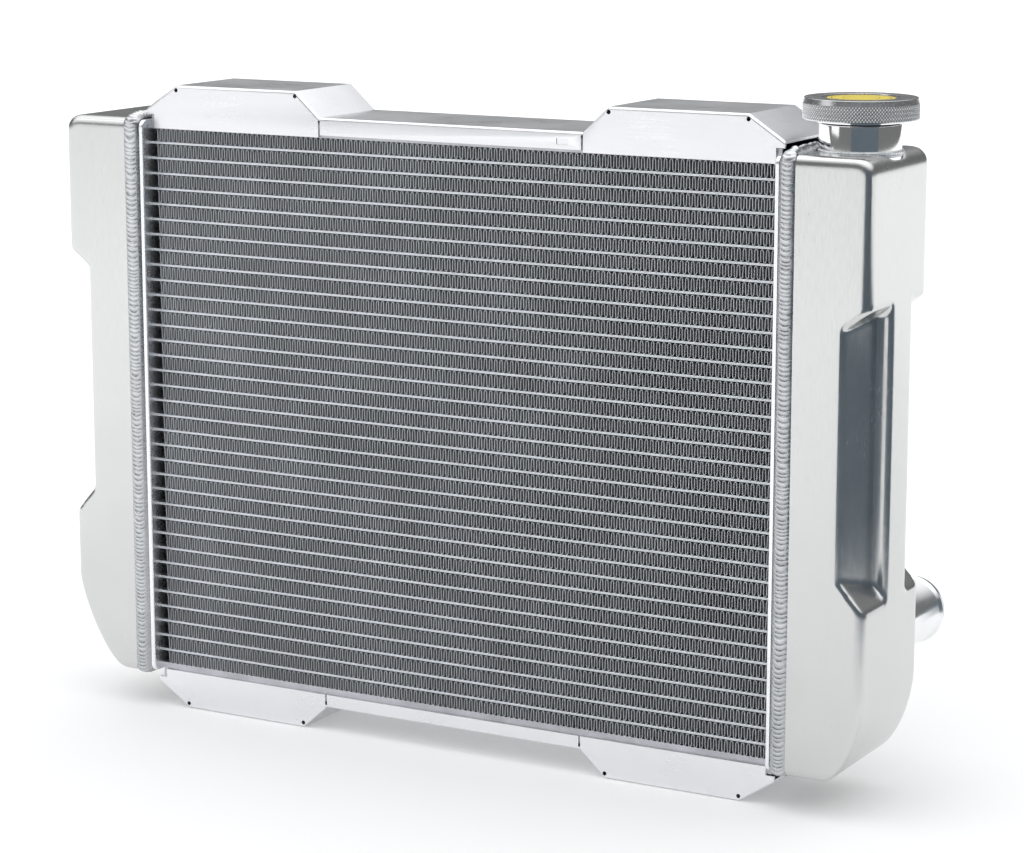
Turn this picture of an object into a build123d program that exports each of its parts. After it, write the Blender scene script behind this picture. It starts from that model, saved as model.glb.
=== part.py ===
from build123d import *
import math
import os

os.makedirs("parts", exist_ok=True)

# Crossflow aluminium car radiator.
# X runs across the core (filler cap at +X), Y front to rear, Z up.
# The lowest faces of the bottom mounts lie on Z = 0.  Millimetres throughout.

# Core: flat tubes lie along X, one folded fin strip sits above and below each of them.
TUBES = 35
TUBE_PITCH = 11.0
TUBE_THICK = 2.0
TUBE_WIDTH = 34.5
TUBE_WALL = 0.35
ROW_GAP = 3.0
TUBE_REACH = 251.0
CORE_MID_Z = 228.5
BRAZE_GAP = 0.05
FIN_LENGTH = 482.0
FIN_WAVES = 60
FIN_SHEET = 0.5

# Side plates close the stack above and below.
SIDE_THICK = 2.0
SIDE_FLANGE = 8.0
SIDE_FLANGE_THICK = 1.5

# Header plates and side tanks.
HEADER_X = 245.5
HEADER_THICK = 3.0
LIP_SET = 1.5
LIP_CORNER = 5.0
LIP_ROUND = 1.2
RIM_LENGTH = 8.5
RIM_THICK = 2.5
HALF_WIDTH = 313.0
TANK_MOUTH_X = 252.0
TANK_DEPTH = 96.0
TANK_TOP = 433.5
TANK_BOTTOM = 25.5
TANK_WALL = 3.0
TANK_EDGE = 5.0
TOP_CORNER = 11.0
RIM_SET = TANK_WALL + BRAZE_GAP

# Lower outer tank corners: how far the cut runs inward and upward, and its two end handles.
LEFT_CORNER = (41.0, 69.5, 17.0, 17.0)
RIGHT_CORNER = (28.0, 59.5, 14.0, 25.0)

# Pockets pressed into the outer face of each tank, either side of a ridge.
POCKET_TOP = 337.0
POCKET_BOTTOM = 141.0
POCKET_TOP_RUN = 15.5
POCKET_BOTTOM_RUN = 24.0
POCKET_DEEP = 21.0
POCKET_FLOOR_EDGE = 17.5
POCKET_FLOOR_RIDGE = 9.0
RIDGE_FRONT = -9.5
RIDGE_REAR = 25.0

# Long weld joining a header plate to a tank.
WELD_LENGTH = 12.4
WELD_RISE = 1.6
WELD_ROUND = 2.8

# Folded mount channels with two raised hats each.
SHEET = 2.0
CHANNEL_DEPTH = 74.0
OVERALL_HEIGHT = 457.0
HAT_DROP = 17.5
HAT_OUT = 222.5
HAT_IN = 122.2
WEB_END = 102.6
STRIP_END = 248.0
STRIP_DROP = 16.5
NOTCH_DROP = 21.0
PANEL_END = 242.0
TOP_PANEL = 31.0
TOP_CENTRE_PANEL = 29.5
BOTTOM_PANEL = 30.0
SLIT = 1.5
FOLD_ROUND = 2.0
RELIEF_RADIUS = 1.5
SLOT_LENGTH = 18.0
SLOT_WIDTH = 6.0
SLOT_X = -6.5
TAB_LENGTH = 9.0
TAB_HEIGHT = 4.0
TAB_X = 88.0
STITCH_LENGTH = 25.0
STITCH_SIZE = 1.4

# Filler neck on the right tank, and the pressure cap.
FILLER_X = 284.0
NECK_RADIUS = 26.6
NECK_TOP = 451.0
NECK_BOTTOM = 428.3
NECK_BORE = 21.0
NECK_LIP_BORE = 18.2
NECK_LIP = 4.0
SEAT_TOP = 431.3
SEAT_BORE = 12.0
EAR_REACH = 20.4
EAR_HALF_ANGLE = 15.0
NOTCH_HALF_ANGLE = 20.0
NECK_WELD = 1.6
GAP = 0.35
RUNNING = 0.05
FLANGE_BOTTOM = 452.1
CAP_BOTTOM = 453.5
CAP_TOP = 467.5
CAP_RADIUS = 37.3
CAP_TOP_RADIUS = 36.3
CAP_BEVEL = 3.5
LABEL_RADIUS = 21.7
RECESS_RADIUS = 25.0
RECESS_DEPTH = 1.4
LABEL_THICK = 0.8
FLANGE_RADIUS = 29.5
PLUG_RADIUS = NECK_LIP_BORE - GAP
PLUG_WALL = 1.9
PLUG_BOTTOM = 441.0
STEM_RADIUS = 3.0
STEM_BOTTOM = 441.0
VALVE_RADIUS = 15.0
VALVE_FACE = 433.0
VALVE_THICK = 1.5
VALVE_HUB_TOP = 445.0
PIN_RADIUS = 1.5
SPRING_RADIUS = 9.5
SPRING_WIRE = 0.8
SPRING_TURNS = 4.5

# Hose necks at the rear, drain and overflow.
NECK_REACH = 64.5
NECK_WALL = 2.5
HOSE_BEAD = 1.7
HOSE_BEAD_SET = 7.0
INLET_RADIUS = 19.05
INLET_AT = (-284.0, 382.0)
OUTLET_RADIUS = 22.225
OUTLET_AT = (285.0, 107.5)
HOSE_WELD = 3.0
NIPPLE_RADIUS = 4.0
NIPPLE_BORE = 2.5
NIPPLE_Z = 443.0
NIPPLE_END = 50.0
NIPPLE_BEAD = 0.7
NIPPLE_BEAD_AT = 42.3
NIPPLE_CHAMFER = 0.6
DRAIN_AT = (286.0, 54.0)
DRAIN_BUNG_RADIUS = 10.0
DRAIN_BUNG_LENGTH = 8.0
DRAIN_SHANK_RADIUS = 6.0
DRAIN_STEM_RADIUS = 3.0

# Values that follow from the sizes above.
CORE_DEPTH = 2 * TUBE_WIDTH + ROW_GAP
ROW_OFFSET = (TUBE_WIDTH + ROW_GAP) / 2
STACK_HALF = (TUBES - 1) / 2 * TUBE_PITCH
ROW_Z = [CORE_MID_Z - STACK_HALF + TUBE_PITCH * k for k in range(TUBES)]
FIN_Z = [ROW_Z[0] - TUBE_PITCH / 2 + TUBE_PITCH * k for k in range(TUBES + 1)]
FIN_HEIGHT = TUBE_PITCH - TUBE_THICK - 2 * BRAZE_GAP
STACK_TOP = FIN_Z[-1] + (TUBE_PITCH - TUBE_THICK) / 2
STACK_BOTTOM = FIN_Z[0] - (TUBE_PITCH - TUBE_THICK) / 2
TANK_HEIGHT = TANK_TOP - TANK_BOTTOM
TANK_MID_Z = (TANK_TOP + TANK_BOTTOM) / 2
TANK_REAR = TANK_DEPTH / 2
CHANNEL_HALF = CHANNEL_DEPTH / 2
SIDE_HALF = CHANNEL_HALF - SHEET

# The model is moved so that its bounding box is centred on X = 0 and Y = 0.
CORE_X = -(FILLER_X + CAP_RADIUS - HALF_WIDTH) / 2
CORE_Y = -(NECK_REACH - WELD_RISE) / 2


def level(z, x=0.0, y=0.0):
    return Plane(origin=(CORE_X + x, CORE_Y + y, z), x_dir=(1, 0, 0), z_dir=(0, 0, 1))


def endways(side, x):
    return Plane(origin=(CORE_X + side * x, CORE_Y, 0), x_dir=(0, side, 0), z_dir=(side, 0, 0))


def frontal(side, y=0.0):
    return Plane(origin=(CORE_X, CORE_Y + y, 0), x_dir=(side, 0, 0), z_dir=(0, -side, 0))


def rearward(at, y):
    return Plane(origin=(CORE_X + at[0], CORE_Y + y, at[1]), x_dir=(-1, 0, 0), z_dir=(0, 1, 0))


# Sections of turned pieces: first coordinate is the radius, second runs along the axis.
cap_section = Plane(origin=(CORE_X + FILLER_X, CORE_Y, 0), x_dir=(1, 0, 0), z_dir=(0, -1, 0))
cap_axis = Axis((CORE_X + FILLER_X, CORE_Y, 0), (0, 0, 1))


def rear_section(at):
    return Plane(origin=(CORE_X + at[0], CORE_Y, at[1]), x_dir=(0, 0, 1), z_dir=(-1, 0, 0))


def rear_axis(at):
    return Axis((CORE_X + at[0], CORE_Y, at[1]), (0, 1, 0))


def turned(points, section, axis):
    with BuildPart() as piece:
        with BuildSketch(section):
            with BuildLine():
                Polyline(*points, close=True)
            make_face()
        revolve(axis=axis)
    return piece


# ---------------------------------------------------------------- core
def tube_row(y):
    with BuildPart() as row:
        with BuildSketch(endways(1, -TUBE_REACH)):
            with Locations([(y, z) for z in ROW_Z]):
                SlotOverall(TUBE_WIDTH, TUBE_THICK)
            with Locations([(y, z) for z in ROW_Z]):
                inner_width = TUBE_WIDTH - 2 * TUBE_WALL
                SlotOverall(inner_width, TUBE_THICK - 2 * TUBE_WALL, mode=Mode.SUBTRACT)
        extrude(amount=2 * TUBE_REACH)
    return row


front_row_tubes = tube_row(-ROW_OFFSET)
front_row_tubes.part.label = "front_row_tubes"
export_step(front_row_tubes.part, "parts/front_row_tubes.step")

rear_row_tubes = tube_row(ROW_OFFSET)
rear_row_tubes.part.label = "rear_row_tubes"
export_step(rear_row_tubes.part, "parts/rear_row_tubes.step")

# One fin strip is a thin sheet folded up and down between two tubes.
fold_step = FIN_LENGTH / FIN_WAVES / 2
lower_side = []
for k in range(2 * FIN_WAVES + 1):
    fold_z = FIN_HEIGHT / 2 - FIN_SHEET if k % 2 else -FIN_HEIGHT / 2
    lower_side.append((-FIN_LENGTH / 2 + k * fold_step, fold_z))
upper_side = [(x, z + FIN_SHEET) for x, z in reversed(lower_side)]

with BuildPart() as fin_strip:
    with BuildSketch(Plane(origin=(0, CORE_DEPTH / 2, 0), x_dir=(1, 0, 0), z_dir=(0, -1, 0))):
        with BuildLine():
            Polyline(*lower_side, *upper_side, close=True)
        make_face()
    extrude(amount=CORE_DEPTH)


def fin_bank(heights):
    with BuildPart() as bank:
        with Locations([(CORE_X, CORE_Y, z) for z in heights]):
            add(fin_strip.part)
    return bank


lower_fins = fin_bank(FIN_Z[: len(FIN_Z) // 2])
lower_fins.part.label = "lower_fins"
export_step(lower_fins.part, "parts/lower_fins.step")

upper_fins = fin_bank(FIN_Z[len(FIN_Z) // 2 :])
upper_fins.part.label = "upper_fins"
export_step(upper_fins.part, "parts/upper_fins.step")


def side_plate(face_z, up):
    with BuildPart() as plate:
        with BuildSketch(endways(1, -HEADER_X)):
            with Locations((0, face_z + up * SIDE_THICK / 2)):
                Rectangle(2 * SIDE_HALF, SIDE_THICK)
            for edge in (-1, 1):
                flange_y = edge * (SIDE_HALF - SIDE_FLANGE_THICK / 2)
                with Locations((flange_y, face_z + up * (SIDE_THICK + SIDE_FLANGE) / 2)):
                    Rectangle(SIDE_FLANGE_THICK, SIDE_THICK + SIDE_FLANGE)
        extrude(amount=2 * HEADER_X)
    return plate


top_side_plate = side_plate(STACK_TOP, 1)
top_side_plate.part.label = "top_side_plate"
export_step(top_side_plate.part, "parts/top_side_plate.step")

bottom_side_plate = side_plate(STACK_BOTTOM, -1)
bottom_side_plate.part.label = "bottom_side_plate"
export_step(bottom_side_plate.part, "parts/bottom_side_plate.step")


# ---------------------------------------------------------------- header plates and tanks
def outline(grow, corner, mode=Mode.ADD):
    with Locations((0, TANK_MID_Z)):
        RectangleRounded(TANK_DEPTH + 2 * grow, TANK_HEIGHT + 2 * grow, corner, mode=mode)


def header_plate(side):
    with BuildPart() as header:
        with BuildSketch(endways(side, HEADER_X)):
            outline(-LIP_SET, LIP_CORNER)
        extrude(amount=HEADER_THICK)
        core_face = header.faces().sort_by(Axis.X)[0 if side > 0 else -1]
        fillet(core_face.edges(), LIP_ROUND)
        with BuildSketch(endways(side, HEADER_X + HEADER_THICK)):
            outline(-RIM_SET, RIM_THICK)
            outline(-RIM_SET - RIM_THICK, RIM_THICK / 2, Mode.SUBTRACT)
        extrude(amount=RIM_LENGTH)
        with BuildSketch(endways(side, HEADER_X)):
            with Locations([(y, z) for y in (-ROW_OFFSET, ROW_OFFSET) for z in ROW_Z]):
                SlotOverall(TUBE_WIDTH + 2 * BRAZE_GAP, TUBE_THICK + 2 * BRAZE_GAP)
        extrude(amount=HEADER_THICK, mode=Mode.SUBTRACT)
    return header


left_header_plate = header_plate(-1)
left_header_plate.part.label = "left_header_plate"
export_step(left_header_plate.part, "parts/left_header_plate.step")

right_header_plate = header_plate(1)
right_header_plate.part.label = "right_header_plate"
export_step(right_header_plate.part, "parts/right_header_plate.step")


def tank_body(side, corner, wall):
    cut_x, cut_z, low_handle, side_handle = corner
    outer = HALF_WIDTH - wall
    top = TANK_TOP - wall
    low = TANK_BOTTOM + wall
    mouth = TANK_MOUTH_X + wall
    bend = TOP_CORNER - wall
    bend_point = (outer - bend + bend * math.sin(math.pi / 4), top - bend + bend * math.sin(math.pi / 4))
    cut_start = (outer, low + cut_z - wall)
    cut_end = (outer - cut_x + wall, low)
    with BuildPart() as body:
        with BuildSketch(frontal(side)):
            with BuildLine():
                Line((mouth, top), (outer - bend, top))
                ThreePointArc((outer - bend, top), bend_point, (outer, top - bend))
                Line((outer, top - bend), cut_start)
                Bezier(
                    cut_start,
                    (outer, cut_start[1] - side_handle),
                    (cut_end[0] + low_handle, low),
                    cut_end,
                )
                Line(cut_end, (mouth, low))
                Line((mouth, low), (mouth, top))
            make_face()
        extrude(amount=TANK_DEPTH / 2 - wall, both=True)
    return body


def pocket(side, face, ridge_y, grow):
    ridge_wall = ridge_y - face * grow
    far_y = face * (TANK_REAR + 5)
    slope = (POCKET_FLOOR_EDGE - POCKET_FLOOR_RIDGE) / (TANK_REAR - abs(ridge_y))
    floor_far = HALF_WIDTH - POCKET_FLOOR_EDGE - 5 * slope - grow
    floor_near = HALF_WIDTH - POCKET_FLOOR_RIDGE - grow
    out = HALF_WIDTH + 5
    deep = HALF_WIDTH - POCKET_DEEP - grow
    lean_top = POCKET_TOP_RUN * 5 / POCKET_DEEP
    lean_low = POCKET_BOTTOM_RUN * 5 / POCKET_DEEP
    low = POCKET_BOTTOM - grow
    high = POCKET_TOP + grow
    with BuildPart() as wedge:
        with BuildSketch(level(low - lean_low)):
            with BuildLine():
                Polyline(
                    (side * floor_far, far_y),
                    (side * floor_near, ridge_wall),
                    (side * out, ridge_wall),
                    (side * out, far_y),
                    close=True,
                )
            make_face()
        extrude(amount=high + lean_top - low + lean_low)
        with BuildSketch(frontal(side)):
            with BuildLine():
                Polyline(
                    (out, low - lean_low),
                    (deep, low + POCKET_BOTTOM_RUN),
                    (deep, high - POCKET_TOP_RUN),
                    (out, high + lean_top),
                    close=True,
                )
            make_face()
        extrude(amount=TANK_DEPTH, both=True, mode=Mode.INTERSECT)
    return wedge


def tank_cavity(side, corner):
    inner = tank_body(side, corner, TANK_WALL)
    front_wedge = pocket(side, -1, RIDGE_FRONT, TANK_WALL)
    rear_wedge = pocket(side, 1, RIDGE_REAR, TANK_WALL)
    with BuildPart() as cavity:
        add(inner.part)
        add(front_wedge.part, mode=Mode.SUBTRACT)
        add(rear_wedge.part, mode=Mode.SUBTRACT)
        with BuildSketch(endways(side, TANK_MOUTH_X)):
            outline(-TANK_WALL, TANK_WALL / 2)
        extrude(amount=TANK_WALL + 1)
    return cavity


def side_tank(side, corner, hose_at, hose_radius):
    outer = tank_body(side, corner, 0)
    cavity = tank_cavity(side, corner)
    front_wedge = pocket(side, -1, RIDGE_FRONT, 0)
    rear_wedge = pocket(side, 1, RIDGE_REAR, 0)
    with BuildPart() as tank:
        add(outer.part)
        flat_faces = [tank.faces().sort_by(Axis.Y)[0], tank.faces().sort_by(Axis.Y)[-1]]
        rims = [e for f in flat_faces for e in f.edges()]
        rims = [e for e in rims if abs(e.center().X - CORE_X) > TANK_MOUTH_X + 1]
        fillet(rims, TANK_EDGE)
        add(front_wedge.part, mode=Mode.SUBTRACT)
        add(rear_wedge.part, mode=Mode.SUBTRACT)
        add(cavity.part, mode=Mode.SUBTRACT)
        with BuildSketch(rearward(hose_at, TANK_REAR)):
            Circle(hose_radius)
        extrude(amount=-TANK_WALL, mode=Mode.SUBTRACT)
        if side > 0:
            with BuildSketch(level(NECK_BOTTOM, FILLER_X)):
                Circle(NECK_RADIUS)
            extrude(amount=TANK_TOP - NECK_BOTTOM, mode=Mode.SUBTRACT)
            with BuildSketch(rearward(DRAIN_AT, TANK_REAR)):
                Circle(DRAIN_SHANK_RADIUS)
            extrude(amount=-TANK_WALL, mode=Mode.SUBTRACT)
    return tank


left_tank = side_tank(-1, LEFT_CORNER, INLET_AT, INLET_RADIUS)
left_tank.part.label = "left_tank"
export_step(left_tank.part, "parts/left_tank.step")

right_tank = side_tank(1, RIGHT_CORNER, OUTLET_AT, OUTLET_RADIUS)
right_tank.part.label = "right_tank"
export_step(right_tank.part, "parts/right_tank.step")


def tank_weld(side):
    start_x = HEADER_X + HEADER_THICK
    with BuildPart() as bead:
        with BuildSketch(endways(side, start_x)):
            outline(WELD_RISE, TANK_EDGE + WELD_RISE)
        extrude(amount=WELD_LENGTH)
        fillet(bead.faces().sort_by(Axis.X)[0].edges(), WELD_ROUND)
        fillet(bead.faces().sort_by(Axis.X)[-1].edges(), WELD_ROUND)
        with BuildSketch(endways(side, start_x)):
            outline(-RIM_SET, RIM_THICK)
        extrude(amount=WELD_LENGTH, mode=Mode.SUBTRACT)
        with BuildSketch(endways(side, TANK_MOUTH_X)):
            outline(0, TANK_EDGE)
        extrude(amount=WELD_LENGTH, mode=Mode.SUBTRACT)
        if side > 0:
            with BuildSketch(level(TANK_TOP - TANK_WALL * 2, FILLER_X)):
                Circle(NECK_RADIUS + NECK_WELD)
            extrude(amount=TANK_WALL * 4, mode=Mode.SUBTRACT)
    return bead


left_tank_weld = tank_weld(-1)
left_tank_weld.part.label = "left_tank_weld"
export_step(left_tank_weld.part, "parts/left_tank_weld.step")

right_tank_weld = tank_weld(1)
right_tank_weld.part.label = "right_tank_weld"
export_step(right_tank_weld.part, "parts/right_tank_weld.step")


# ---------------------------------------------------------------- mount channels
# Outer line of the folded strip, as (distance from the middle, drop from the hat face).
half_line = [
    (WEB_END, HAT_DROP),
    (HAT_IN, 0.0),
    (HAT_OUT, 0.0),
    (STRIP_END, STRIP_DROP),
]
strip_line = [(-x, d) for x, d in reversed(half_line)] + half_line


def set_in(line, thickness):
    moved = []
    for k, point in enumerate(line):
        before = line[max(k - 1, 0)]
        after = line[min(k + 1, len(line) - 1)]
        turn_a = math.atan2(point[1] - before[1], point[0] - before[0]) if k else None
        turn_b = math.atan2(after[1] - point[1], after[0] - point[0]) if after != point else turn_a
        turn_a = turn_b if turn_a is None else turn_a
        middle = (turn_a + turn_b) / 2
        reach = thickness / math.cos((turn_b - turn_a) / 2)
        moved.append((point[0] - reach * math.sin(middle), point[1] + reach * math.cos(middle)))
    return moved


def mount_channel(hat_z, down, panel, centre_panel):
    inner_line = set_in(strip_line, SHEET)
    inner_line[0] = (-STRIP_END - 5, inner_line[0][1] + 3.2)
    inner_line[-1] = (STRIP_END + 5, inner_line[-1][1] + 3.2)
    with BuildPart() as channel:
        with BuildSketch(frontal(1)):
            with BuildLine():
                Polyline(
                    *[(x, hat_z + down * d) for x, d in strip_line],
                    (STRIP_END, hat_z + down * NOTCH_DROP),
                    (PANEL_END, hat_z + down * NOTCH_DROP),
                    (PANEL_END, hat_z + down * panel),
                    (-PANEL_END, hat_z + down * panel),
                    (-PANEL_END, hat_z + down * NOTCH_DROP),
                    (-STRIP_END, hat_z + down * NOTCH_DROP),
                    close=True,
                )
            make_face()
        extrude(amount=CHANNEL_HALF, both=True)
        folds = []
        for flat_face in (channel.faces().sort_by(Axis.Y)[0], channel.faces().sort_by(Axis.Y)[-1]):
            for e in flat_face.edges():
                if abs(e.center().Z - hat_z) < HAT_DROP + 0.1 and e.length > SHEET * 3:
                    folds.append(e)
        fillet(folds, FOLD_ROUND)
        with BuildSketch(frontal(1)):
            with BuildLine():
                Polyline(
                    *[(x, hat_z + down * d) for x, d in inner_line],
                    (STRIP_END + 5, hat_z + down * (panel + 1)),
                    (-STRIP_END - 5, hat_z + down * (panel + 1)),
                    close=True,
                )
            make_face()
        extrude(amount=CHANNEL_HALF - SHEET, both=True, mode=Mode.SUBTRACT)
        slit_z = hat_z + down * (HAT_DROP + SHEET + panel) / 2
        with Locations([(CORE_X + s * WEB_END, CORE_Y, slit_z) for s in (-1, 1)]):
            Box(SLIT, CHANNEL_DEPTH + 2, panel - HAT_DROP - SHEET, mode=Mode.SUBTRACT)
        if centre_panel < panel:
            trim_z = hat_z + down * (centre_panel + panel) / 2
            with Locations((CORE_X, CORE_Y, trim_z)):
                Box(2 * WEB_END, CHANNEL_DEPTH + 2, panel - centre_panel, mode=Mode.SUBTRACT)
        relief_z = hat_z + down * (SHEET + RELIEF_RADIUS)
        corners = [s * x for s in (-1, 1) for x in (HAT_IN, HAT_OUT)]
        with BuildSketch(frontal(1)):
            with Locations([(x, relief_z) for x in corners]):
                Circle(RELIEF_RADIUS)
        extrude(amount=CHANNEL_DEPTH, both=True, mode=Mode.SUBTRACT)
        if down < 0:
            with BuildSketch(frontal(1, -CHANNEL_HALF)):
                with Locations((TAB_X, hat_z + down * (HAT_DROP + centre_panel + SHEET) / 2)):
                    Rectangle(TAB_LENGTH, TAB_HEIGHT)
            extrude(amount=-SHEET / 4, mode=Mode.SUBTRACT)
        else:
            with BuildSketch(level(hat_z - HAT_DROP - SHEET, SLOT_X)):
                SlotOverall(SLOT_LENGTH, SLOT_WIDTH)
            extrude(amount=SHEET, mode=Mode.SUBTRACT)
    return channel


top_mount_channel = mount_channel(OVERALL_HEIGHT, -1, TOP_PANEL, TOP_CENTRE_PANEL)
top_mount_channel.part.label = "top_mount_channel"
export_step(top_mount_channel.part, "parts/top_mount_channel.step")

bottom_mount_channel = mount_channel(0.0, 1, BOTTOM_PANEL - 3, BOTTOM_PANEL - 3)
bottom_mount_channel.part.label = "bottom_mount_channel"
export_step(bottom_mount_channel.part, "parts/bottom_mount_channel.step")


def stitch_welds(edge_z, up):
    with BuildPart() as stitches:
        for edge in (-1, 1):
            for x in (-220.0, -150.0, -60.0, 60.0, 150.0, 220.0):
                with BuildSketch(endways(1, x - STITCH_LENGTH / 2)):
                    with BuildLine():
                        corner_y = edge * SIDE_HALF
                        Polyline(
                            (corner_y, edge_z),
                            (corner_y - edge * STITCH_SIZE, edge_z),
                            (corner_y, edge_z + up * STITCH_SIZE),
                            close=True,
                        )
                    make_face()
                extrude(amount=STITCH_LENGTH)
    return stitches


top_mount_welds = stitch_welds(STACK_TOP + SIDE_THICK + SIDE_FLANGE, 1)
top_mount_welds.part.label = "top_mount_welds"
export_step(top_mount_welds.part, "parts/top_mount_welds.step")

bottom_mount_welds = stitch_welds(STACK_BOTTOM - SIDE_THICK - SIDE_FLANGE, -1)
bottom_mount_welds.part.label = "bottom_mount_welds"
export_step(bottom_mount_welds.part, "parts/bottom_mount_welds.step")


# ---------------------------------------------------------------- filler neck
def sector_points(turn, half_angle, inner, outer):
    """Three far and three near points, half_angle degrees either side of the direction turn."""
    rays = [math.radians(turn + step * half_angle) for step in (-1, 0, 1)]
    far = [(outer * math.cos(t), outer * math.sin(t)) for t in rays]
    near = [(inner * math.cos(t), inner * math.sin(t)) for t in rays]
    return far, near


with BuildPart() as filler_neck:
    with BuildSketch(cap_section):
        with BuildLine():
            Polyline(
                (SEAT_BORE, NECK_BOTTOM),
                (NECK_RADIUS, NECK_BOTTOM),
                (NECK_RADIUS, NECK_TOP - 0.6),
                (NECK_RADIUS - 0.6, NECK_TOP),
                (NECK_LIP_BORE, NECK_TOP),
                (NECK_LIP_BORE, NECK_TOP - NECK_LIP),
                (NECK_BORE, NECK_TOP - NECK_LIP),
                (NECK_BORE, SEAT_TOP),
                (SEAT_BORE, SEAT_TOP),
                close=True,
            )
        make_face()
    revolve(axis=cap_axis)
    with BuildSketch(level(NECK_TOP - NECK_LIP, FILLER_X)):
        for turn in (0, 180):
            far, near = sector_points(turn, NOTCH_HALF_ANGLE, NECK_BORE / 2, NECK_BORE)
            with BuildLine():
                ThreePointArc(*far)
                Line(far[2], near[2])
                ThreePointArc(*reversed(near))
                Line(near[0], far[0])
            make_face()
    extrude(amount=NECK_LIP, mode=Mode.SUBTRACT)
    with BuildSketch(rearward((FILLER_X, NIPPLE_Z), 0)):
        Circle(NIPPLE_RADIUS)
    extrude(amount=NECK_RADIUS + 1, mode=Mode.SUBTRACT)
filler_neck.part.label = "filler_neck"
export_step(filler_neck.part, "parts/filler_neck.step")

with BuildPart() as filler_neck_weld:
    with BuildSketch(cap_section):
        with BuildLine():
            Polyline(
                (NECK_RADIUS, TANK_TOP - TANK_WALL + 0.1),
                (NECK_RADIUS + NECK_WELD, TANK_TOP - TANK_WALL + 0.1),
                (NECK_RADIUS + NECK_WELD, TANK_TOP),
                (NECK_RADIUS, TANK_TOP + NECK_WELD),
                close=True,
            )
        make_face()
    revolve(axis=cap_axis)
    add(right_tank.part, mode=Mode.SUBTRACT)
filler_neck_weld.part.label = "filler_neck_weld"
export_step(filler_neck_weld.part, "parts/filler_neck_weld.step")

with BuildPart() as overflow_nipple:
    with BuildSketch(rear_section((FILLER_X, NIPPLE_Z))):
        with BuildLine():
            Polyline(
                (NIPPLE_BORE, NECK_BORE + 1),
                (NIPPLE_RADIUS, NECK_BORE + 1),
                (NIPPLE_RADIUS, NIPPLE_BEAD_AT - 1.3),
                (NIPPLE_RADIUS + NIPPLE_BEAD, NIPPLE_BEAD_AT - 0.5),
                (NIPPLE_RADIUS + NIPPLE_BEAD, NIPPLE_BEAD_AT + 0.5),
                (NIPPLE_RADIUS, NIPPLE_BEAD_AT + 1.3),
                (NIPPLE_RADIUS, NIPPLE_END - NIPPLE_CHAMFER),
                (NIPPLE_RADIUS - NIPPLE_CHAMFER, NIPPLE_END),
                (NIPPLE_BORE, NIPPLE_END),
                close=True,
            )
        make_face()
    revolve(axis=rear_axis((FILLER_X, NIPPLE_Z)))
    with BuildSketch(level(NECK_BOTTOM, FILLER_X)):
        Circle(NECK_BORE + 1)
    extrude(amount=NECK_TOP - NECK_BOTTOM, mode=Mode.SUBTRACT)
overflow_nipple.part.label = "overflow_nipple"
export_step(overflow_nipple.part, "parts/overflow_nipple.step")


# ---------------------------------------------------------------- hose necks
def hose_neck(at, radius):
    end = TANK_REAR + NECK_REACH
    bead = end - HOSE_BEAD_SET
    return turned(
        [
            (radius - NECK_WALL, TANK_REAR - TANK_WALL),
            (radius, TANK_REAR - TANK_WALL),
            (radius, bead - 2.6),
            (radius + HOSE_BEAD * 0.7, bead - 1.6),
            (radius + HOSE_BEAD, bead),
            (radius + HOSE_BEAD * 0.7, bead + 1.6),
            (radius, bead + 2.6),
            (radius, end - 0.8),
            (radius - 0.8, end),
            (radius - NECK_WALL, end),
        ],
        rear_section(at),
        rear_axis(at),
    )


def ring_weld(at, radius, size):
    return turned(
        [
            (radius, TANK_REAR),
            (radius + size, TANK_REAR),
            (radius + size * 0.72, TANK_REAR + size * 0.5),
            (radius + size * 0.4, TANK_REAR + size * 0.8),
            (radius, TANK_REAR + size),
        ],
        rear_section(at),
        rear_axis(at),
    )


inlet_neck = hose_neck(INLET_AT, INLET_RADIUS)
inlet_neck.part.label = "inlet_neck"
export_step(inlet_neck.part, "parts/inlet_neck.step")

inlet_neck_weld = ring_weld(INLET_AT, INLET_RADIUS, HOSE_WELD)
inlet_neck_weld.part.label = "inlet_neck_weld"
export_step(inlet_neck_weld.part, "parts/inlet_neck_weld.step")

outlet_neck = hose_neck(OUTLET_AT, OUTLET_RADIUS)
outlet_neck.part.label = "outlet_neck"
export_step(outlet_neck.part, "parts/outlet_neck.step")

outlet_neck_weld = ring_weld(OUTLET_AT, OUTLET_RADIUS, HOSE_WELD * 0.7)
outlet_neck_weld.part.label = "outlet_neck_weld"
export_step(outlet_neck_weld.part, "parts/outlet_neck_weld.step")

# ---------------------------------------------------------------- drain
bung_end = TANK_REAR + DRAIN_BUNG_LENGTH
hex_end = bung_end + 12
tip_start = TANK_REAR + 1.5
shoulder = TANK_REAR + 5.0

drain_bung = turned(
    [
        (DRAIN_SHANK_RADIUS, TANK_REAR),
        (DRAIN_BUNG_RADIUS, TANK_REAR),
        (DRAIN_BUNG_RADIUS, bung_end - 1),
        (DRAIN_BUNG_RADIUS - 1, bung_end),
        (DRAIN_SHANK_RADIUS, bung_end),
    ],
    rear_section(DRAIN_AT),
    rear_axis(DRAIN_AT),
)
drain_bung.part.label = "drain_bung"
export_step(drain_bung.part, "parts/drain_bung.step")

drain_bung_weld = ring_weld(DRAIN_AT, DRAIN_BUNG_RADIUS, 2.0)
drain_bung_weld.part.label = "drain_bung_weld"
export_step(drain_bung_weld.part, "parts/drain_bung_weld.step")

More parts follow.
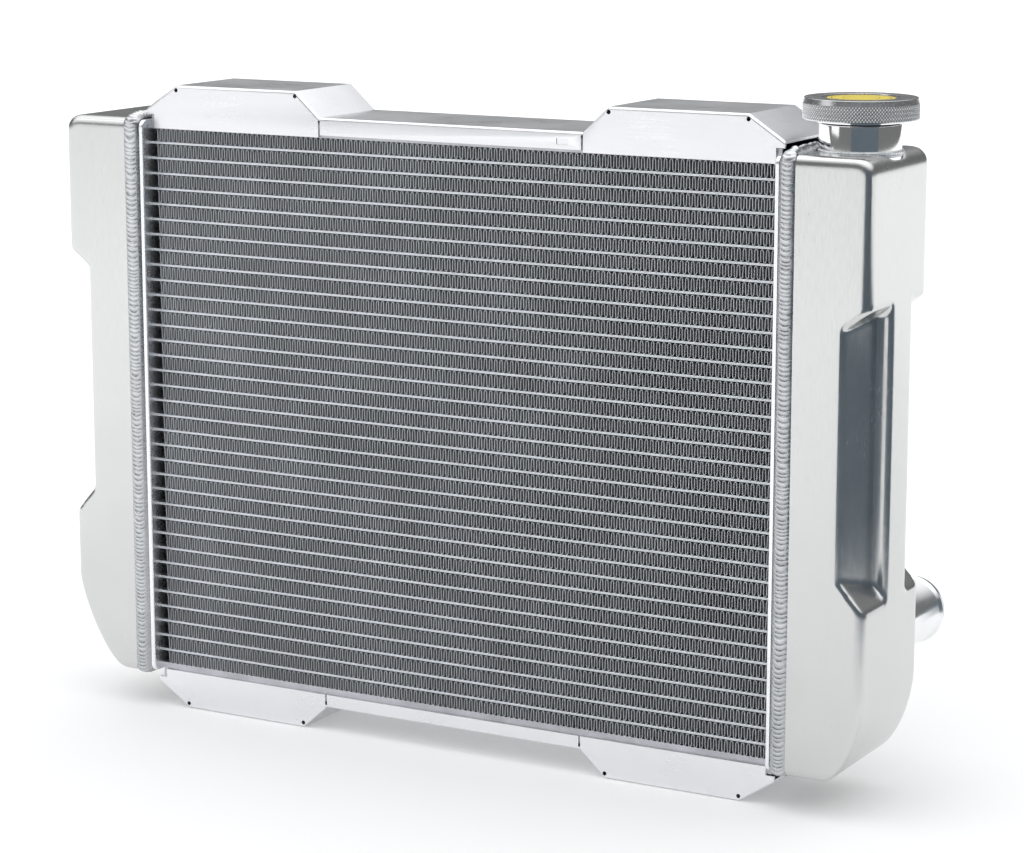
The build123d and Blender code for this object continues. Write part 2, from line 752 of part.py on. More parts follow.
spout_y = bung_end + 5
with BuildPart() as drain_cock_body:
    with BuildSketch(rearward(DRAIN_AT, TANK_REAR - TANK_WALL)):
        Circle(DRAIN_SHANK_RADIUS)
    extrude(amount=bung_end - TANK_REAR + TANK_WALL)
    with BuildSketch(rearward(DRAIN_AT, bung_end)):
        RegularPolygon(8.0, 6, major_radius=False)
    extrude(amount=hex_end - bung_end)
    with BuildSketch(level(DRAIN_AT[1] - 20, DRAIN_AT[0], spout_y)):
        Circle(3.6)
    extrude(amount=14)
    with BuildSketch(level(DRAIN_AT[1] - 20, DRAIN_AT[0], spout_y)):
        Circle(2.0)
    extrude(amount=20, mode=Mode.SUBTRACT)
    with BuildSketch(rearward(DRAIN_AT, TANK_REAR - TANK_WALL)):
        Circle(DRAIN_STEM_RADIUS + RUNNING)
    extrude(amount=hex_end - TANK_REAR + TANK_WALL, mode=Mode.SUBTRACT)
    with BuildSketch(rearward(DRAIN_AT, TANK_REAR - TANK_WALL)):
        Circle(DRAIN_STEM_RADIUS + GAP)
    extrude(amount=shoulder + 2 - TANK_REAR + TANK_WALL, mode=Mode.SUBTRACT)
drain_cock_body.part.label = "drain_cock_body"
export_step(drain_cock_body.part, "parts/drain_cock_body.step")

with BuildPart() as drain_stem:
    with BuildSketch(rearward(DRAIN_AT, tip_start)):
        Circle(DRAIN_STEM_RADIUS - 1)
    extrude(amount=shoulder - tip_start)
    with BuildSketch(rearward(DRAIN_AT, shoulder)):
        Circle(DRAIN_STEM_RADIUS)
    extrude(amount=hex_end + 5 - shoulder)
    with BuildSketch(rearward(DRAIN_AT, hex_end + 4)):
        SlotOverall(15, 4.2)
    extrude(amount=11)
    wing_end = drain_stem.faces().sort_by(Axis.Y)[-1]
    fillet(wing_end.edges(), 1.2)
drain_stem.part.label = "drain_stem"
export_step(drain_stem.part, "parts/drain_stem.step")

drain_seal = turned(
    [
        (DRAIN_STEM_RADIUS - 1 + RUNNING, tip_start + 0.5),
        (DRAIN_STEM_RADIUS, tip_start + 0.5),
        (DRAIN_STEM_RADIUS, shoulder - GAP),
        (DRAIN_STEM_RADIUS - 1 + RUNNING, shoulder - GAP),
    ],
    rear_section(DRAIN_AT),
    rear_axis(DRAIN_AT),
)
drain_seal.part.label = "drain_seal"
export_step(drain_seal.part, "parts/drain_seal.step")

# ---------------------------------------------------------------- pressure cap
head_bottom = CAP_BOTTOM + GAP
head_top = head_bottom + 2.4
cavity_top = head_top + GAP

cap_knob = turned(
    [
        (0, cavity_top),
        (6 + GAP, cavity_top),
        (6 + GAP, CAP_BOTTOM),
        (CAP_RADIUS - 0.5, CAP_BOTTOM),
        (CAP_RADIUS, CAP_BOTTOM + 0.5),
        (CAP_RADIUS, CAP_TOP - CAP_BEVEL),
        (CAP_TOP_RADIUS, CAP_TOP),
        (RECESS_RADIUS, CAP_TOP),
        (RECESS_RADIUS, CAP_TOP - RECESS_DEPTH),
        (0, CAP_TOP - RECESS_DEPTH),
    ],
    cap_section,
    cap_axis,
)
cap_knob.part.label = "cap_knob"
export_step(cap_knob.part, "parts/cap_knob.step")

with BuildPart() as cap_label:
    with BuildSketch(level(CAP_TOP - RECESS_DEPTH, FILLER_X)):
        Circle(LABEL_RADIUS)
    extrude(amount=LABEL_THICK)
    fillet(cap_label.faces().sort_by(Axis.Z)[-1].edges(), LABEL_THICK / 3)
cap_label.part.label = "cap_label"
export_step(cap_label.part, "parts/cap_label.step")

with BuildPart() as cap_bayonet:
    with BuildSketch(cap_section):
        with BuildLine():
            Polyline(
                (STEM_RADIUS + RUNNING, FLANGE_BOTTOM),
                (PLUG_RADIUS - PLUG_WALL, FLANGE_BOTTOM),
                (PLUG_RADIUS - PLUG_WALL, PLUG_BOTTOM),
                (PLUG_RADIUS, PLUG_BOTTOM),
                (PLUG_RADIUS, FLANGE_BOTTOM),
                (FLANGE_RADIUS, FLANGE_BOTTOM),
                (FLANGE_RADIUS, CAP_BOTTOM),
                (STEM_RADIUS + RUNNING, CAP_BOTTOM),
                close=True,
            )
        make_face()
    revolve(axis=cap_axis)
    with BuildSketch(level(PLUG_BOTTOM + 1, FILLER_X)):
        for turn in (0, 180):
            far, near = sector_points(turn, EAR_HALF_ANGLE, PLUG_RADIUS - PLUG_WALL / 2, EAR_REACH)
            with BuildLine():
                ThreePointArc(*far)
                Line(far[2], near[2])
                ThreePointArc(*reversed(near))
                Line(near[0], far[0])
            make_face()
    extrude(amount=3.5)
cap_bayonet.part.label = "cap_bayonet"
export_step(cap_bayonet.part, "parts/cap_bayonet.step")

with BuildPart() as cap_gasket:
    with BuildSketch(level(NECK_TOP + GAP, FILLER_X)):
        Circle(NECK_RADIUS - 1.2)
        Circle(PLUG_RADIUS, mode=Mode.SUBTRACT)
    extrude(amount=FLANGE_BOTTOM - NECK_TOP - GAP)
cap_gasket.part.label = "cap_gasket"
export_step(cap_gasket.part, "parts/cap_gasket.step")

cap_guide_stem = turned(
    [
        (0, STEM_BOTTOM),
        (STEM_RADIUS - 0.4, STEM_BOTTOM),
        (STEM_RADIUS, STEM_BOTTOM + 0.4),
        (STEM_RADIUS, head_bottom),
        (6, head_bottom),
        (6, head_top),
        (0, head_top),
    ],
    cap_section,
    cap_axis,
)
cap_guide_stem.part.label = "cap_guide_stem"
export_step(cap_guide_stem.part, "parts/cap_guide_stem.step")

valve_top = VALVE_FACE + VALVE_THICK
spring_low = valve_top + GAP + SPRING_WIRE
spring_high = FLANGE_BOTTOM - GAP - SPRING_WIRE
spring_height = spring_high - spring_low

with BuildPart() as pressure_spring:
    with BuildLine(level(spring_low, FILLER_X)) as coil:
        Helix(pitch=spring_height / SPRING_TURNS, height=spring_height, radius=SPRING_RADIUS)
    with BuildSketch(Plane(origin=coil.line @ 0, z_dir=coil.line % 0)):
        Circle(SPRING_WIRE)
    sweep(path=coil.line, is_frenet=True)
pressure_spring.part.label = "pressure_spring"
export_step(pressure_spring.part, "parts/pressure_spring.step")

pressure_valve = turned(
    [
        (PIN_RADIUS + RUNNING, VALVE_FACE),
        (VALVE_RADIUS, VALVE_FACE),
        (VALVE_RADIUS, valve_top),
        (STEM_RADIUS + 2, valve_top),
        (STEM_RADIUS + 2, VALVE_HUB_TOP),
        (STEM_RADIUS + RUNNING, VALVE_HUB_TOP),
        (STEM_RADIUS + RUNNING, valve_top),
        (PIN_RADIUS + RUNNING, valve_top),
    ],
    cap_section,
    cap_axis,
)
pressure_valve.part.label = "pressure_valve"
export_step(pressure_valve.part, "parts/pressure_valve.step")

with BuildPart() as pressure_seal:
    with BuildSketch(level(SEAT_TOP + GAP, FILLER_X)):
        Circle(VALVE_RADIUS - 0.3)
        Circle(SEAT_BORE - 1, mode=Mode.SUBTRACT)
    extrude(amount=VALVE_FACE - SEAT_TOP - GAP)
pressure_seal.part.label = "pressure_seal"
export_step(pressure_seal.part, "parts/pressure_seal.step")

vacuum_valve = turned(
    [
        (0, VALVE_FACE - 1.9),
        (6, VALVE_FACE - 1.9),
        (6, VALVE_FACE - 0.7),
        (5.4, VALVE_FACE - GAP),
        (PIN_RADIUS, VALVE_FACE - GAP),
        (PIN_RADIUS, valve_top + 1.5),
        (STEM_RADIUS - GAP, valve_top + 1.5),
        (STEM_RADIUS - GAP, valve_top + 2.3),
        (0, valve_top + 2.3),
    ],
    cap_section,
    cap_axis,
)
vacuum_valve.part.label = "vacuum_valve"
export_step(vacuum_valve.part, "parts/vacuum_valve.step")
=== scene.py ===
import math

import bmesh
import bpy
import numpy as np
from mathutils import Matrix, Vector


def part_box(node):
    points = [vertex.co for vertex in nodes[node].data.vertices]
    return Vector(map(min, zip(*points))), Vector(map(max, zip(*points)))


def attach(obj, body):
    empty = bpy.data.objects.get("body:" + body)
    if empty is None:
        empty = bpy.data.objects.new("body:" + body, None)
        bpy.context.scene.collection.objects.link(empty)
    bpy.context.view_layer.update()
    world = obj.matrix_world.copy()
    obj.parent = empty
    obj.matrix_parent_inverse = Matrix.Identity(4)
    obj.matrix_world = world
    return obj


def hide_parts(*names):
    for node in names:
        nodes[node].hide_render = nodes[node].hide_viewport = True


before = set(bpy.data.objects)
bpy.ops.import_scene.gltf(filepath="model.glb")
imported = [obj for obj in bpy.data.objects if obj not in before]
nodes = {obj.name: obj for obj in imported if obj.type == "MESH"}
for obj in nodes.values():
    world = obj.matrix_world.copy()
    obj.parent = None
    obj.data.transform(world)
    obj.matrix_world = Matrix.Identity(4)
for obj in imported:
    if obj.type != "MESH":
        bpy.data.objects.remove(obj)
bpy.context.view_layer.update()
MM = 0.001

# ------------------------------------------------------------------ camera and studio
# The radiator stands on a pale floor under a large overhead softbox and a smaller one on the left.
# A dark curved card round the front right corner is what the polished metal mirrors there.
# Camera distances are in metres, angles in degrees.
AZIMUTH, ELEVATION = 29.27, 11.17
LENS, SENSOR = 105.5, 36.0
EYE = (1.0213, -1.8088, 0.6314)

camera = bpy.data.objects.new("studio_camera", bpy.data.cameras.new("studio_camera"))
bpy.context.scene.collection.objects.link(camera)
camera.data.lens = LENS
camera.data.sensor_width = SENSOR
camera.data.clip_start, camera.data.clip_end = 0.05, 60.0
camera.location = EYE
camera.rotation_euler = (math.radians(90 - ELEVATION), 0.0, math.radians(AZIMUTH))
bpy.context.scene.camera = camera
bpy.context.scene.view_settings.view_transform = "Standard"


def surface_mesh(name, points, wrap_u=False, wrap_v=False, smooth=True):
    """One object from a grid of points (rows u, columns v): each cell of the grid is a face.

    wrap_u joins the last row to the first, wrap_v the last column to the first.
    """
    rows, columns = points.shape[:2]
    u = np.arange(rows if wrap_u else rows - 1)
    v = np.arange(columns if wrap_v else columns - 1)
    uu, vv = np.meshgrid(u, v, indexing="ij")
    nu, nv = (uu + 1) % rows, (vv + 1) % columns
    quads = np.stack([uu * columns + vv, nu * columns + vv, nu * columns + nv, uu * columns + nv], -1)
    mesh = bpy.data.meshes.new(name)
    mesh.from_pydata(points.reshape(-1, 3), [], quads.reshape(-1, 4).tolist())
    mesh.polygons.foreach_set("use_smooth", [smooth] * len(mesh.polygons))
    mesh.update()
    made = bpy.data.objects.new(name, mesh)
    bpy.context.scene.collection.objects.link(made)
    return made


def plain_finish(name, colour, roughness, glow=0.0):
    """A studio surface of one colour."""
    made = bpy.data.materials.new(name)
    made.use_nodes = True
    shader = made.node_tree.nodes["Principled BSDF"]
    shader.inputs["Base Color"].default_value = (*colour, 1.0)
    shader.inputs["Roughness"].default_value = roughness
    shader.inputs["Specular IOR Level"].default_value = 0.2
    shader.inputs["Emission Color"].default_value = (*colour, 1.0)
    shader.inputs["Emission Strength"].default_value = glow
    return made


FLOOR_REACH, FLOOR_DROP = 40.0, 0.0002
GLOW_START, GLOW_END = 0.4, 2.2
GLOW_NEAR, GLOW_FAR = 0.27, 0.62
floor_rings = [0.0, 0.5, 2.0, 8.0, FLOOR_REACH]
floor_turns = np.linspace(0, 2 * math.pi, 97)[:-1]
ring, turn = np.meshgrid(floor_rings, floor_turns, indexing="ij")
floor_points = np.stack([ring * np.cos(turn), ring * np.sin(turn), 0 * ring - FLOOR_DROP], -1)
studio_floor = surface_mesh("studio_floor", floor_points, wrap_v=True)
floor_finish = plain_finish("floor_paint_and_glow", (0.76, 0.76, 0.76), 0.9, 1.0)
studio_floor.data.materials.append(floor_finish)
# Painted light: the floor's own glow rises from GLOW_NEAR beside the radiator to GLOW_FAR further out,
# standing in for the boxes' light spilling past it.
floor_tree = floor_finish.node_tree
floor_place = floor_tree.nodes.new("ShaderNodeTexCoord")
floor_reach = floor_tree.nodes.new("ShaderNodeVectorMath")
floor_reach.operation = "LENGTH"
floor_glow = floor_tree.nodes.new("ShaderNodeMapRange")
floor_glow.inputs["From Min"].default_value = GLOW_START
floor_glow.inputs["From Max"].default_value = GLOW_END
floor_glow.inputs["To Min"].default_value = GLOW_NEAR
floor_glow.inputs["To Max"].default_value = GLOW_FAR
floor_tree.links.new(floor_place.outputs["Object"], floor_reach.inputs[0])
floor_tree.links.new(floor_reach.outputs["Value"], floor_glow.inputs["Value"])
floor_tree.links.new(floor_glow.outputs["Result"],
                     floor_tree.nodes["Principled BSDF"].inputs["Emission Strength"])

# The card: an upright curved strip, seen only by reflections.
# Below CARD_STEP it starts and ends further round than above.
CARD_RADIUS, CARD_HEIGHT, CARD_STEP, STEP_HALF = 0.8, 0.64, 0.29, 0.06
LOW_START, LOW_END, HIGH_START, HIGH_END = 14.0, 128.0, 18.0, 76.0
card_rows = np.array([0.0, CARD_STEP - STEP_HALF, CARD_STEP + STEP_HALF, CARD_HEIGHT])
blend = np.clip((card_rows - CARD_STEP) / (2 * STEP_HALF) + 0.5, 0.0, 1.0)
start = LOW_START + (HIGH_START - LOW_START) * blend
end = LOW_END + (HIGH_END - LOW_END) * blend
across = np.linspace(0.0, 1.0, 49)[:, None]
card_turn = np.radians(start + (end - start) * across)
card_z = card_rows + 0 * across
card_points = np.stack([CARD_RADIUS * np.sin(card_turn), -CARD_RADIUS * np.cos(card_turn), card_z], -1)
dark_card = surface_mesh("dark_card", card_points)
dark_card.data.materials.append(plain_finish("card_paint", (0.06, 0.075, 0.09), 0.9, 1.0))
dark_card.visible_camera = False
dark_card.visible_diffuse = False
dark_card.visible_shadow = False


def softbox(name, place, aim, size, power):
    """A square area light of the given size at place, pointed at aim."""
    lamp = bpy.data.lights.new(name, "AREA")
    lamp.shape = "RECTANGLE"
    lamp.size, lamp.size_y = size
    lamp.energy = power
    made = bpy.data.objects.new(name, lamp)
    bpy.context.scene.collection.objects.link(made)
    made.location = place
    heading = np.array(aim) - np.array(place)
    flat = math.hypot(heading[0], heading[1])
    made.rotation_euler = (math.atan2(flat, -heading[2]), 0.0, math.atan2(-heading[0], heading[1]))


softbox("overhead_box", (-0.2, -0.3, 2.6), (0.0, 0.0, 0.0), (2.4, 2.4), 9.0)
softbox("left_box", (-2.0, -1.8, 1.5), (0.0, 0.0, 0.2), (1.4, 1.4), 6.0)

# The room: white above, with a grey band low down all round.
room = bpy.data.worlds.new("studio_room")
room.use_nodes = True
bpy.context.scene.world = room
tree = room.node_tree
backdrop = tree.nodes["Background"]
where = tree.nodes.new("ShaderNodeTexCoord")
split = tree.nodes.new("ShaderNodeSeparateXYZ")
height_ramp = tree.nodes.new("ShaderNodeValToRGB")
tree.links.new(where.outputs["Generated"], split.inputs[0])
tree.links.new(split.outputs["Z"], height_ramp.inputs["Fac"])
tree.links.new(height_ramp.outputs["Color"], backdrop.inputs["Color"])
height_ramp.color_ramp.elements[0].position = 0.34
height_ramp.color_ramp.elements[0].color = (0.12, 0.122, 0.122, 1.0)
height_ramp.color_ramp.elements[1].position = 0.75
height_ramp.color_ramp.elements[1].color = (0.98, 0.99, 1.0, 1.0)
backdrop.inputs["Strength"].default_value = 1.5


# ------------------------------------------------------------------ brazed core: tubes
# Two rows of thin flat aluminium tubes, one row behind the other, brazed to the fins.
# They are extruded strip, bright at the rounded front edge and a little blotchy from the furnace.
def metal_finish(name, colour, roughness, grain=(600.0, 600.0, 600.0), grain_depth=0.00002,
                 mottle=30.0, mottle_change=0.08, rough_change=0.08, metallic=1.0, grain_detail=3.0):
    """Metal whose colour wanders by mottle_change over patches 1/mottle metres wide.

    Roughness wanders by rough_change, and a fine grain of the given frequencies is pressed into it.
    """
    made = bpy.data.materials.new(name)
    made.use_nodes = True
    tree = made.node_tree
    shader = tree.nodes["Principled BSDF"]
    shader.inputs["Metallic"].default_value = metallic
    where = tree.nodes.new("ShaderNodeTexCoord")
    stretch = tree.nodes.new("ShaderNodeMapping")
    stretch.inputs["Scale"].default_value = grain
    fine = tree.nodes.new("ShaderNodeTexNoise")
    fine.inputs["Scale"].default_value = 1.0
    fine.inputs["Detail"].default_value = grain_detail
    patches = tree.nodes.new("ShaderNodeTexNoise")
    patches.inputs["Scale"].default_value = mottle
    patches.inputs["Detail"].default_value = 4.0
    tree.links.new(where.outputs["Object"], stretch.inputs["Vector"])
    tree.links.new(stretch.outputs["Vector"], fine.inputs["Vector"])
    tree.links.new(where.outputs["Object"], patches.inputs["Vector"])
    tint = tree.nodes.new("ShaderNodeValToRGB")
    dark = [max(0.0, c * (1 - mottle_change)) for c in colour]
    light = [min(1.0, c * (1 + mottle_change * 0.6)) for c in colour]
    tint.color_ramp.elements[0].position = 0.3
    tint.color_ramp.elements[0].color = (*dark, 1.0)
    tint.color_ramp.elements[1].position = 0.7
    tint.color_ramp.elements[1].color = (*light, 1.0)
    tree.links.new(patches.outputs["Fac"], tint.inputs["Fac"])
    tree.links.new(tint.outputs["Color"], shader.inputs["Base Color"])
    both = tree.nodes.new("ShaderNodeMath")
    both.operation = "ADD"
    tree.links.new(fine.outputs["Fac"], both.inputs[0])
    tree.links.new(patches.outputs["Fac"], both.inputs[1])
    polish = tree.nodes.new("ShaderNodeMapRange")
    polish.inputs["From Min"].default_value = 0.6
    polish.inputs["From Max"].default_value = 1.4
    polish.inputs["To Min"].default_value = max(0.02, roughness - rough_change)
    polish.inputs["To Max"].default_value = roughness + rough_change
    tree.links.new(both.outputs[0], polish.inputs["Value"])
    tree.links.new(polish.outputs["Result"], shader.inputs["Roughness"])
    press = tree.nodes.new("ShaderNodeBump")
    press.inputs["Distance"].default_value = grain_depth
    press.inputs["Strength"].default_value = 1.0
    tree.links.new(fine.outputs["Fac"], press.inputs["Height"])
    tree.links.new(press.outputs["Normal"], shader.inputs["Normal"])
    return made


def dress(finish, *names):
    """Gives CAD nodes their finish."""
    for name in names:
        nodes[name].data.materials.clear()
        nodes[name].data.materials.append(finish)


tube_finish = metal_finish("tube_strip", (0.66, 0.69, 0.72), 0.36, grain=(60.0, 900.0, 900.0), mottle=60.0)
dress(tube_finish, "front_row_tubes", "rear_row_tubes")

# ------------------------------------------------------------------ brazed core: fins
# Between the tubes lie strips of thin aluminium sheet, folded up and down into a serpentine.
# Each crest is brazed to a tube.  The rolling leaves small differences from fold to fold.
FIN_WAVES = 118
FIN_SHEET = 0.20 * MM
STRIP_COUNT = 18
FOLD_X = np.array([0.00, 0.16, 0.235, 0.265, 0.34, 0.50, 0.66, 0.735, 0.765, 0.84])
FOLD_Z = np.array([1.0, 0.90, 0.66, -0.66, -0.90, -1.0, -0.90, -0.66, 0.66, 0.90])
STRIP_HEIGHT = 8.9 * MM
FOLD_WANDER = 0.07
EDGE_DEEP, EDGE_SHALLOW = 2.2 * MM, 0.2 * MM


def darken(finish, value, low_colour):
    """Scales a finish's colour from low_colour, where value is 0, to its own, where value is 1."""
    tree = finish.node_tree
    shader = tree.nodes["Principled BSDF"]
    own = shader.inputs["Base Color"].links[0].from_socket
    level = tree.nodes.new("ShaderNodeMapRange")
    level.inputs["To Min"].default_value = low_colour
    product = tree.nodes.new("ShaderNodeVectorMath")
    product.operation = "SCALE"
    tree.links.new(value, level.inputs["Value"])
    tree.links.new(own, product.inputs[0])
    tree.links.new(level.outputs["Result"], product.inputs["Scale"])
    tree.links.new(product.outputs["Vector"], shader.inputs["Base Color"])


def fin_pack(name, node, seed):
    """Every strip of one bank as a closed thin ribbon.

    The middle line repeats the ten-point fold FOLD_X, FOLD_Z once a wave.  Half the sheet
    thickness along the line's normal gives its two sides, and the core's depth its two edges.
    """
    low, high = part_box(node)
    chance = np.random.default_rng(seed)
    pitch = (high.x - low.x) / FIN_WAVES
    tube_pitch = (high.z - low.z - STRIP_HEIGHT) / (STRIP_COUNT - 1)
    amplitude = (STRIP_HEIGHT - FIN_SHEET) / 2
    wave = np.arange(FIN_WAVES)[:, None]
    line_x = np.append(((wave + FOLD_X) * pitch).ravel(), FIN_WAVES * pitch)
    line_z = np.append(np.tile(FOLD_Z, FIN_WAVES), 1.0) * amplitude
    jitter = chance.normal(0.0, FOLD_WANDER, (STRIP_COUNT, FIN_WAVES * 2 + 1)) * MM
    knots = np.linspace(0.0, FIN_WAVES * pitch, FIN_WAVES * 2 + 1)
    across = np.stack([np.interp(line_x, knots, row) for row in jitter])
    x = low.x + line_x[None, :] + across
    x = np.clip(x, low.x + FIN_SHEET, high.x - FIN_SHEET)
    z = np.broadcast_to(line_z, x.shape)
    dx, dz = np.gradient(x, axis=1), np.gradient(z, axis=1)
    size = np.hypot(dx, dz)
    nx, nz = -dz / size * FIN_SHEET / 2, dx / size * FIN_SHEET / 2
    base = low.z + STRIP_HEIGHT / 2 + np.arange(STRIP_COUNT)[:, None] * tube_pitch
    front, rear = np.full_like(x, low.y), np.full_like(x, high.y)
    corners = [
        np.stack([x + nx, front, base + z + nz], -1),
        np.stack([x - nx, front, base + z - nz], -1),
        np.stack([x - nx, rear, base + z - nz], -1),
        np.stack([x + nx, rear, base + z + nz], -1),
    ]
    points = np.stack(corners, 2)
    strips, stations = points.shape[:2]
    s = np.arange(strips)[:, None, None] * stations * 4
    k = np.arange(stations - 1)[None, :, None] * 4
    side = np.arange(4)[None, None, :]
    here, there = s + k + side, s + k + (side + 1) % 4
    quads = np.stack([here, there, there + 4, here + 4], -1).reshape(-1, 4)
    first = (np.arange(strips) * stations * 4)[:, None]
    start_caps = first + np.array([[3, 2, 1, 0]])
    end_caps = first + (stations - 1) * 4 + np.array([[0, 1, 2, 3]])
    faces = np.concatenate([quads, start_caps, end_caps])
    mesh = bpy.data.meshes.new(name)
    mesh.from_pydata(points.reshape(-1, 3), [], faces.tolist())
    mesh.update()
    made = bpy.data.objects.new(name, mesh)
    bpy.context.scene.collection.objects.link(made)
    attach(made, "radiator")
    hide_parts(node)
    return made


fin_finish = metal_finish("fin_sheet", (0.80, 0.83, 0.87), 0.40, grain=(900.0, 200.0, 900.0),
                          mottle=22.0, mottle_change=0.12, rough_change=0.10, metallic=0.5)
# Painted shade: the fin sheet's colour falls to 0.36 of its own deeper than about 2 mm inside the core,
# standing in for the shade between the folds; its cut edges at both faces keep their full colour.
fin_low, fin_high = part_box("lower_fins")
fin_tree = fin_finish.node_tree
fin_place = fin_tree.nodes.new("ShaderNodeTexCoord")
fin_split = fin_tree.nodes.new("ShaderNodeSeparateXYZ")
fin_offset = fin_tree.nodes.new("ShaderNodeMath")
fin_offset.operation = "SUBTRACT"
fin_offset.inputs[1].default_value = (fin_low.y + fin_high.y) / 2
fin_reach = fin_tree.nodes.new("ShaderNodeMath")
fin_reach.operation = "ABSOLUTE"
fin_depth_shade = fin_tree.nodes.new("ShaderNodeMapRange")
fin_depth_shade.inputs["From Min"].default_value = (fin_high.y - fin_low.y) / 2 - EDGE_DEEP
fin_depth_shade.inputs["From Max"].default_value = (fin_high.y - fin_low.y) / 2 - EDGE_SHALLOW
fin_tree.links.new(fin_place.outputs["Object"], fin_split.inputs[0])
fin_tree.links.new(fin_split.outputs["Y"], fin_offset.inputs[0])
fin_tree.links.new(fin_offset.outputs[0], fin_reach.inputs[0])
fin_tree.links.new(fin_reach.outputs[0], fin_depth_shade.inputs["Value"])
darken(fin_finish, fin_depth_shade.outputs["Result"], 0.36)
for bank, seed in (("lower_fins", 11), ("upper_fins", 12)):
    pack = fin_pack(bank.replace("fins", "fin_strips"), bank, seed)
    pack.data.materials.append(fin_finish)

# ------------------------------------------------------------------ side plates and header plates
# Mill-finish folded plates close the stack, and thick slotted plates with a rounded lip hold
# the tube ends.
side_finish = metal_finish("mill_plate", (0.56, 0.56, 0.60), 0.38, grain=(40.0, 700.0, 700.0),
                           mottle=45.0, mottle_change=0.22)
dress(side_finish, "top_side_plate", "bottom_side_plate")
header_finish = metal_finish("header_plate", (0.93, 0.94, 0.95), 0.30, mottle=40.0)
dress(header_finish, "left_header_plate", "right_header_plate")


# ------------------------------------------------------------------ side tanks
# Each tank is formed from 3 mm sheet with soft pressed edges and two pockets either side of a
# ridge, then hand polished: satin, with faint cloudy patches and fine vertical scratches.
def merged_copy(name, node, body, finish, smooth_angle=32):
    """A copy of a CAD node with its faces joined at their edges and shaded smooth below an angle."""
    mesh = nodes[node].data.copy()
    mesh.name = name
    work = bmesh.new()
    work.from_mesh(mesh)
    bmesh.ops.remove_doubles(work, verts=work.verts, dist=2e-6)
    bmesh.ops.dissolve_limit(work, angle_limit=math.radians(0.6), verts=work.verts, edges=work.edges)
    work.to_mesh(mesh)
    work.free()
    made = bpy.data.objects.new(name, mesh)
    bpy.context.scene.collection.objects.link(made)
    mesh.polygons.foreach_set("use_smooth", [True] * len(mesh.polygons))
    mesh.update()
    mesh.set_sharp_from_angle(angle=math.radians(smooth_angle))
    mesh.materials.clear()
    mesh.materials.append(finish)
    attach(made, body)
    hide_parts(node)
    return made


VOXEL = 1.5 * MM
RELAX_ROUNDS = 9


def pressed_tank(name, node, finish):
    """A tank whose edges are all rounded: its copy is remeshed to small even cells, then relaxed."""
    made = merged_copy(name, node, "radiator", finish)
    cells = made.modifiers.new("even_cells", "REMESH")
    cells.mode = "VOXEL"
    cells.voxel_size = VOXEL
    relax = made.modifiers.new("relax", "SMOOTH")
    relax.factor = 0.5
    relax.iterations = RELAX_ROUNDS
    bpy.context.view_layer.update()
    evaluated = made.evaluated_get(bpy.context.evaluated_depsgraph_get())
    finished = bpy.data.meshes.new_from_object(evaluated)
    made.modifiers.clear()
    work = bmesh.new()
    work.from_mesh(finished)
    bmesh.ops.dissolve_limit(work, angle_limit=math.radians(0.12), verts=work.verts, edges=work.edges)
    bmesh.ops.triangulate(work, faces=[face for face in work.faces if len(face.verts) > 4])
    work.to_mesh(finished)
    work.free()
    finished.polygons.foreach_set("use_smooth", [True] * len(finished.polygons))
    finished.materials.clear()
    finished.materials.append(finish)
    made.data = finished


tank_finish = metal_finish("polished_sheet", (0.63, 0.635, 0.63), 0.22, grain=(1500.0, 1500.0, 130.0),
                           grain_depth=0.000003, mottle=14.0, mottle_change=0.05, rough_change=0.07)
pressed_tank("left_side_tank", "left_tank", tank_finish)
pressed_tank("right_side_tank", "right_tank", tank_finish)

# ------------------------------------------------------------------ long tank welds
# A wide hand-laid bead of filler runs right round each joint between header plate and tank.
# Every drop overlaps the one before like a stack of coins, and the hand wavers a little.
WELD_PITCH = 3.1 * MM
WELD_RISE = 1.55 * MM
DROP_START, DROP_END = 3.0 * MM, 12.4 * MM
TOP_EXTRA = 2.6
BEAD_OUT, BEAD_CORNER = 1.6 * MM, 5.0 * MM
HEADER_FACE = 248.5 * MM
tubes_low, tubes_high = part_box("front_row_tubes")
CORE_X = (tubes_low.x + tubes_high.x) / 2


def groove_shade_value(finish):
    """The relief attribute of a mesh: 1 on its crests, 0 in its grooves; a finish darkens its colour by it
    as painted shade.
    """
    height = finish.node_tree.nodes.new("ShaderNodeAttribute")
    height.attribute_name = "relief"
    return height.outputs["Fac"]


def store_groove_shade(piece, values):
    """Writes one relief value per vertex of a grid piece, for the painted shade in its grooves."""
    layer = piece.data.attributes.new("relief", "FLOAT", "POINT")
    layer.data.foreach_set("value", np.ascontiguousarray(values, dtype=np.float32).ravel())


